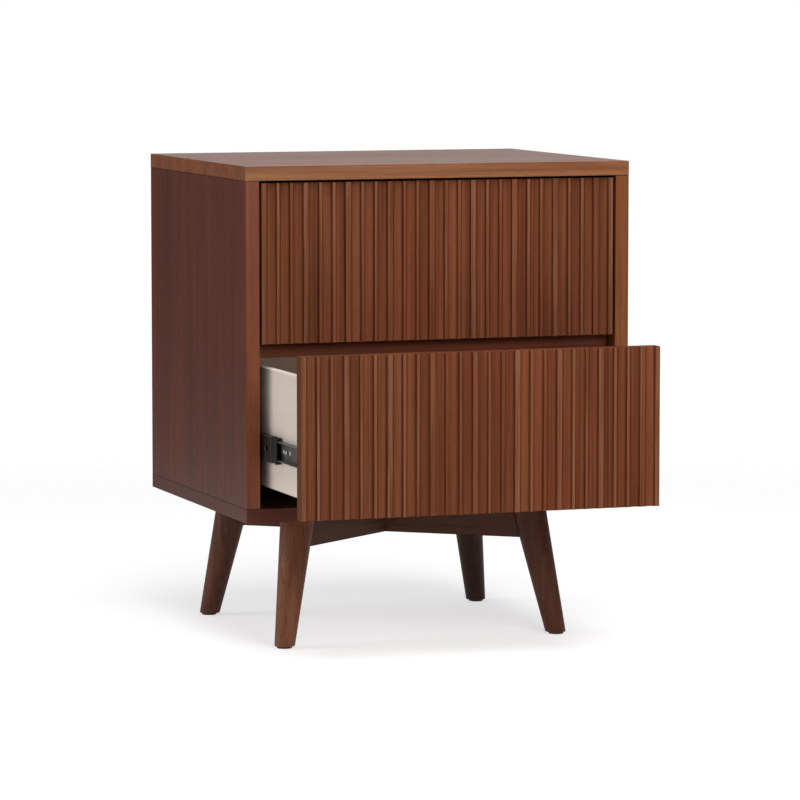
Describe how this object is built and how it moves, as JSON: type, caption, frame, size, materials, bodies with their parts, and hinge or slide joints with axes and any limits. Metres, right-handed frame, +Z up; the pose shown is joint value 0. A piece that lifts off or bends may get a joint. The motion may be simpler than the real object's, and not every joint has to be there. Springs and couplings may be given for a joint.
{
  "type": "nightstand",
  "caption": "Walnut nightstand with fluted handleless drawers on ball-bearing slides, a slab case and splayed round legs joined by crossing boards.",
  "frame": {"origin": "on the floor, under the middle of the object's box as it stands at rest with its lower drawer partly open", "axes": "+Z up, -Y out of the drawer fronts, +X to the right as seen from the front"},
  "size_m": [0.56, 0.63, 0.672],
  "materials": {
    "walnut_panel": "satin walnut-stained veneer, grain along the length of each panel",
    "fluted_walnut": "satin walnut-stained solid wood with upright flutes",
    "leg_walnut": "satin dark walnut-stained turned wood",
    "brace_wood": "dull dark walnut-stained wood",
    "drawer_board": "smooth pale cream board",
    "back_board": "thin stained board",
    "slide_steel": "black coated pressed steel",
    "black_plastic": "moulded",
    "zinc_steel": "zinc plated",
    "nylon": "moulded nylon"
  },
  "bodies": {
    "cabinet": {"back_panel": "back_board", "bottom_panel": "walnut_panel", "cross_brace_front_left": "brace_wood", "cross_brace_front_right": "brace_wood", "cross_brace_screw_front_left_front": "zinc_steel", "cross_brace_screw_front_left_rear": "zinc_steel", "cross_brace_screw_front_right_front": "zinc_steel", "cross_brace_screw_front_right_rear": "zinc_steel", "front_left_leg": "leg_walnut", "front_left_leg_glide": "nylon", "front_left_leg_hanger_bolt": "zinc_steel", "front_right_leg": "leg_walnut", "front_right_leg_glide": "nylon", "front_right_leg_hanger_bolt": "zinc_steel", "left_side_panel": "walnut_panel", "lower_drawer_left_slide_cabinet_member": "slide_steel", "lower_drawer_left_slide_push_to_open_unit": "black_plastic", "lower_drawer_right_slide_cabinet_member": "slide_steel", "lower_drawer_right_slide_push_to_open_unit": "black_plastic", "middle_rail": "walnut_panel", "rear_left_leg": "leg_walnut", "rear_left_leg_glide": "nylon", "rear_left_leg_hanger_bolt": "zinc_steel", "rear_right_leg": "leg_walnut", "rear_right_leg_glide": "nylon", "rear_right_leg_hanger_bolt": "zinc_steel", "right_side_panel": "walnut_panel", "top_panel": "walnut_panel", "upper_drawer_left_slide_cabinet_member": "slide_steel", "upper_drawer_left_slide_push_to_open_unit": "black_plastic", "upper_drawer_right_slide_cabinet_member": "slide_steel", "upper_drawer_right_slide_push_to_open_unit": "black_plastic"},
    "upper_drawer": {"upper_drawer_box_back_wall": "drawer_board", "upper_drawer_box_bottom": "drawer_board", "upper_drawer_box_front_wall": "drawer_board", "upper_drawer_box_left_side": "drawer_board", "upper_drawer_box_right_side": "drawer_board", "upper_drawer_fluted_front": "fluted_walnut", "upper_drawer_front_screw_left": "zinc_steel", "upper_drawer_front_screw_right": "zinc_steel", "upper_drawer_left_slide_drawer_member": "slide_steel", "upper_drawer_right_slide_drawer_member": "slide_steel"},
    "lower_drawer": {"lower_drawer_box_back_wall": "drawer_board", "lower_drawer_box_bottom": "drawer_board", "lower_drawer_box_front_wall": "drawer_board", "lower_drawer_box_left_side": "drawer_board", "lower_drawer_box_right_side": "drawer_board", "lower_drawer_fluted_front": "fluted_walnut", "lower_drawer_front_screw_left": "zinc_steel", "lower_drawer_front_screw_right": "zinc_steel", "lower_drawer_left_slide_drawer_member": "slide_steel", "lower_drawer_right_slide_drawer_member": "slide_steel"},
    "upper_slide_middles": {"upper_drawer_left_slide_end_clip": "black_plastic", "upper_drawer_left_slide_middle_member": "slide_steel", "upper_drawer_right_slide_end_clip": "black_plastic", "upper_drawer_right_slide_middle_member": "slide_steel"},
    "lower_slide_middles": {"lower_drawer_left_slide_end_clip": "black_plastic", "lower_drawer_left_slide_middle_member": "slide_steel", "lower_drawer_right_slide_end_clip": "black_plastic", "lower_drawer_right_slide_middle_member": "slide_steel"}
  },
  "joints": [
    {"name": "upper_drawer_slide", "type": "slide", "parent": "cabinet", "child": "upper_drawer", "axis": [0, -1, 0], "range_m": [-0.003, 0.4]},
    {"name": "upper_slide_middles_run", "type": "slide", "parent": "cabinet", "child": "upper_slide_middles", "axis": [0, -1, 0], "range_m": [-0.0015, 0.2]},
    {"name": "lower_drawer_slide", "type": "slide", "parent": "cabinet", "child": "lower_drawer", "axis": [0, -1, 0], "range_m": [-0.1745, 0.2285]},
    {"name": "lower_slide_middles_run", "type": "slide", "parent": "cabinet", "child": "lower_slide_middles", "axis": [0, -1, 0], "range_m": [-0.08725, 0.11425]}
  ],
  "couplings": [
    {"joint": "upper_slide_middles_run", "follows": "upper_drawer_slide", "ratio": 0.5},
    {"joint": "lower_slide_middles_run", "follows": "lower_drawer_slide", "ratio": 0.5}
  ]
}
